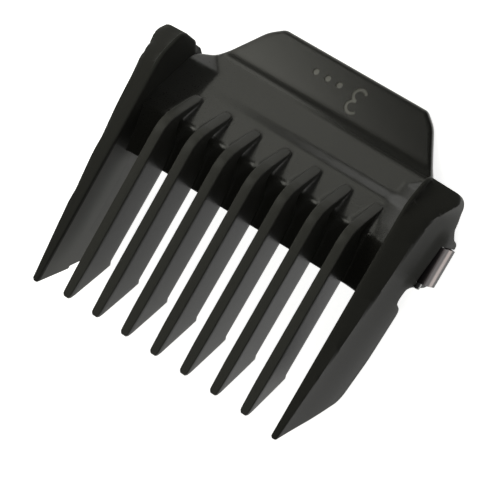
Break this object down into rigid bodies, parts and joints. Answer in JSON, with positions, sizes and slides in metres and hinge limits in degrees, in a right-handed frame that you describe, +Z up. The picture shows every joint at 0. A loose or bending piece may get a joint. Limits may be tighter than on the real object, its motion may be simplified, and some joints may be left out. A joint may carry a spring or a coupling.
{
  "type": "clipper guard comb",
  "caption": "Clip-on guard comb for a hair clipper: slanted teeth on a bent plate, pointed side walls with sprung steel clips, and a rear thumb tab.",
  "frame": {"origin": "middle of the comb's bounding box, on the plane that the side walls' lowest edges stand on", "axes": "+X across the comb, +Y from the tooth tips towards the thumb tab, +Z up towards the skin side"},
  "size_m": [0.0564, 0.0522, 0.0185],
  "materials": {
    "black_plastic": "satin black moulded plastic",
    "spring_steel": "bright rolled spring steel strip",
    "pin_steel": "drawn steel wire"
  },
  "bodies": {
    "comb_body": {"front_bar": "black_plastic", "deck_plate": "black_plastic", "blade_stop_rib": "black_plastic", "tooth_1": "black_plastic", "tooth_2": "black_plastic", "tooth_3": "black_plastic", "tooth_4": "black_plastic", "tooth_5": "black_plastic", "tooth_6": "black_plastic", "tooth_7": "black_plastic", "side_wall_left": "black_plastic", "wall_ear_left": "black_plastic", "clip_pin_left": "pin_steel", "side_wall_right": "black_plastic", "wall_ear_right": "black_plastic", "clip_pin_right": "pin_steel"},
    "tab": {"rear_tab": "black_plastic", "heel_hook": "black_plastic"},
    "clip_left": {"spring_clip_left": "spring_steel"},
    "clip_right": {"spring_clip_right": "spring_steel"}
  },
  "joints": [
    {"name": "tab_flex", "type": "hinge", "parent": "comb_body", "child": "tab", "pos_m": [0, 0.0185, 0.0032], "axis": [1, 0, 0], "range_deg": [0, 5], "stiffness_Nm_per_rad": 0.6},
    {"name": "clip_flex_right", "type": "hinge", "parent": "comb_body", "child": "clip_right", "pos_m": [0.0269, 0.0066, 0.0062], "axis": [0, -1, 0], "range_deg": [0, 8], "stiffness_Nm_per_rad": 0.15},
    {"name": "clip_flex_left", "type": "hinge", "parent": "comb_body", "child": "clip_left", "pos_m": [-0.0269, 0.0066, 0.0062], "axis": [0, 1, 0], "range_deg": [0, 8], "stiffness_Nm_per_rad": 0.15}
  ]
}
